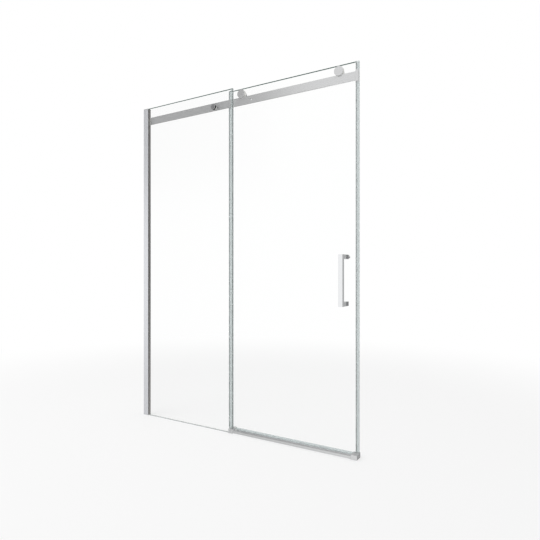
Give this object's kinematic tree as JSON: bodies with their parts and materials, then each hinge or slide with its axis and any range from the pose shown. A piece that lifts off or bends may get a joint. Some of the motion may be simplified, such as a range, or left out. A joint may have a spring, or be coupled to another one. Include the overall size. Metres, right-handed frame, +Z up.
{
  "type": "sliding shower door",
  "caption": "Frameless sliding shower door: a fixed glass pane in a wall channel, a flat rail behind it, and a glass pane with a square bar handle that hangs on rollers.",
  "frame": {"origin": "on the left wall's face, level with the surface the door stands on, in the plane of the fixed pane's front face", "axes": "+X along the door from the left wall to the right wall, +Y from outside into the shower, +Z up"},
  "size_m": [1.39, 0.111, 1.904],
  "materials": {
    "clear_glass": "clear, ground edges",
    "polished_steel": "polished",
    "satin_steel": "fine satin",
    "dark_steel": "dark satin",
    "bright_aluminium": "bright anodised",
    "grey_aluminium": "satin anodised",
    "fastener_steel": "bright",
    "bearing_steel": "ground",
    "clear_seal": "clear, flexible",
    "grey_rubber": "satin",
    "black_rubber": "satin",
    "grey_plastic": "satin",
    "nylon": "satin"
  },
  "bodies": {
    "frame": {"wall_channel": "bright_aluminium", "glass_channel": "grey_aluminium", "channel_screws": "fastener_steel", "channel_cap": "grey_plastic", "front_gasket": "grey_rubber", "rear_wedge": "grey_rubber", "fixed_glass": "clear_glass", "base_seal": "clear_seal", "fixed_edge_seal": "clear_seal", "rail": "satin_steel", "rail_bracket_left": "satin_steel", "rail_bracket_left_screws": "fastener_steel", "rail_bracket_right": "satin_steel", "rail_grub_screws": "fastener_steel", "rail_bolt": "fastener_steel", "rail_bolt_cap": "polished_steel", "rail_bolt_gaskets": "black_rubber", "rail_bolt_nut": "fastener_steel", "rail_spacer": "nylon", "rail_crush_sleeve": "fastener_steel", "rail_stop": "satin_steel", "rail_stop_bumper": "black_rubber", "rail_stop_screw": "polished_steel", "bottom_guide": "satin_steel", "guide_liner": "nylon", "guide_clamp_screw": "fastener_steel", "threshold": "satin_steel", "threshold_end_block": "satin_steel"},
    "door": {"sliding_glass": "clear_glass", "trailing_seal": "clear_seal", "leading_seal": "clear_seal", "drip_seal": "clear_seal", "handle_bar": "polished_steel", "handle_post_lower": "polished_steel", "handle_post_upper": "polished_steel", "handle_gaskets": "clear_seal", "handle_bolts": "fastener_steel", "handle_inner_caps": "dark_steel", "handle_peg": "polished_steel", "roller_front_bushes": "fastener_steel", "roller_rear_bushes": "polished_steel", "roller_gaskets": "black_rubber", "bearing_inner_rings": "bearing_steel", "left_roller_cap": "satin_steel", "left_roller_axle": "fastener_steel", "left_roller_inner_cap": "polished_steel", "right_roller_cap": "satin_steel", "right_roller_axle": "fastener_steel", "right_roller_inner_cap": "polished_steel"},
    "left_roller": {"left_wheel": "nylon", "left_bearing_outer_ring": "bearing_steel", "left_bearing_balls": "bearing_steel"},
    "right_roller": {"right_wheel": "nylon", "right_bearing_outer_ring": "bearing_steel", "right_bearing_balls": "bearing_steel"}
  },
  "joints": [
    {"name": "door_slide", "type": "slide", "parent": "frame", "child": "door", "axis": [-1, 0, 0], "range_m": [0, 0.48]},
    {"name": "left_roller_spin", "type": "hinge", "parent": "door", "child": "left_roller", "pos_m": [0.72, 0.022, 1.868], "axis": [0, -1, 0], "continuous": true},
    {"name": "right_roller_spin", "type": "hinge", "parent": "door", "child": "right_roller", "pos_m": [1.291, 0.022, 1.868], "axis": [0, -1, 0], "continuous": true}
  ],
  "couplings": [
    {"joint": "left_roller_spin", "follows": "door_slide", "rad_per_m": 56.497},
    {"joint": "right_roller_spin", "follows": "door_slide", "rad_per_m": 56.497}
  ]
}
